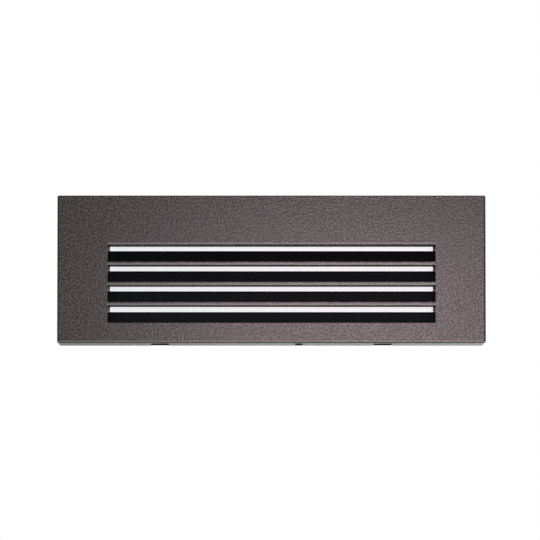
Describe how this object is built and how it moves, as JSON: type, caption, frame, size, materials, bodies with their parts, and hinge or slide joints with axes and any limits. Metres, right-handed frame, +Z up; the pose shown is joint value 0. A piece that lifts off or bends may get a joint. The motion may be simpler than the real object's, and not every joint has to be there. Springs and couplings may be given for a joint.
{
  "type": "louvred recessed step light",
  "caption": "Recessed step light: rectangular faceplate with flush bars and sloping louvers over a frosted lens, in a cast back box for conduit wiring.",
  "frame": {"origin": "centre of the faceplate's back edge, 1 mm in front of the wall's surface, the thickness of the foam gasket", "axes": "+X to the right along the faceplate seen from the front, +Y into the wall, +Z up"},
  "size_m": [0.2348, 0.0755, 0.0826],
  "materials": {
    "bronze_powder_coat": "fine textured powder coat",
    "black_coat": "satin black",
    "spring_steel": "bright",
    "stainless": "satin",
    "black_screw": "black oxide",
    "cast_grey": "as cast",
    "frosted_glass": "frosted white",
    "silicone": "matte",
    "black_foam": "closed-cell foam",
    "tray_metal": "plain",
    "white_plastic": "matte",
    "board_white": "solder mask",
    "led_emitter": "phosphor",
    "connector_plastic": "matte",
    "driver_black": "matte",
    "terminal_grey": "matte",
    "lead_red": "matte",
    "lead_black": "matte",
    "lead_white": "matte",
    "lead_green": "matte",
    "brass_green": "green tinted",
    "zinc": "zinc plated"
  },
  "bodies": {
    "back_box_assembly": {"back_box": "cast_grey", "left_conduit_hub": "zinc", "right_conduit_hub": "zinc", "conduit_plug": "zinc", "left_mounting_ear": "zinc", "right_mounting_ear": "zinc", "ear_screws": "stainless", "lens_frame": "cast_grey", "lens": "frosted_glass", "lens_gasket": "silicone", "light_tray": "tray_metal", "frame_screws": "stainless", "reflector": "white_plastic", "led_board": "board_white", "leds": "led_emitter", "board_screws": "stainless", "board_connector": "connector_plastic", "driver_case": "driver_black", "driver_screws": "stainless", "terminal_block": "terminal_grey", "terminal_screw": "stainless", "board_lead_red": "lead_red", "board_lead_black": "lead_black", "input_lead_black": "lead_black", "input_lead_white": "lead_white", "ground_lead": "lead_green", "ground_screw": "brass_green"},
    "faceplate_assembly": {"faceplate": "bronze_powder_coat", "louver_blade_1": "black_coat", "louver_blade_2": "black_coat", "louver_blade_3": "black_coat", "louver_blade_4": "black_coat", "left_louver_cheek": "black_coat", "right_louver_cheek": "black_coat", "left_spring_clip": "spring_steel", "right_spring_clip": "spring_steel", "louver_screws": "stainless", "clip_screws": "stainless", "foam_gasket": "black_foam"},
    "lock_screw_body": {"lock_screw": "black_screw"}
  },
  "joints": [
    {"name": "faceplate_pull_off", "type": "slide", "parent": "back_box_assembly", "child": "faceplate_assembly", "axis": [0, -1, 0], "range_m": [0, 0.04]},
    {"name": "lock_screw_turn", "type": "hinge", "parent": "faceplate_assembly", "child": "lock_screw_body", "pos_m": [0.015, -0.0039, -0.0384], "axis": [0, 0, -1], "range_deg": [0, 450]}
  ]
}
